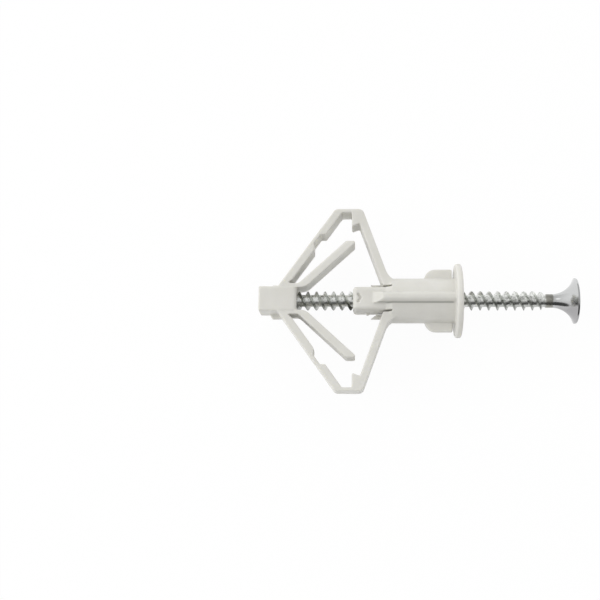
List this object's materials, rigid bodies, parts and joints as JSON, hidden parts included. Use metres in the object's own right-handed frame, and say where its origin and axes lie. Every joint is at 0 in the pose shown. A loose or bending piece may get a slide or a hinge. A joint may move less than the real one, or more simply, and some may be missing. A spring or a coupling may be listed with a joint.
{
  "type": "hollow wall anchor",
  "caption": "Moulded wall anchor with a flanged sleeve, folding wings that open behind thin board, and a countersunk screw that drives through it.",
  "frame": {"origin": "on the screw's axis, in the flange face that seats on the wall", "axes": "+X out of the wall, along the screw towards its head; the wings open along Y; +Z square to the wings, up from the surface it lies on"},
  "size_m": [0.0561, 0.0328, 0.0132],
  "materials": {
    "moulded_plastic": "satin off-white moulded plastic",
    "plated_steel": "bright zinc-plated steel"
  },
  "bodies": {
    "anchor": {"wing_anchor": "moulded_plastic"},
    "screw": {"screw": "plated_steel"}
  },
  "joints": [
    {"name": "screw_drive", "type": "slide", "parent": "anchor", "child": "screw", "axis": [1, 0, 0], "range_m": [-0.0201, 0.0055]}
  ]
}
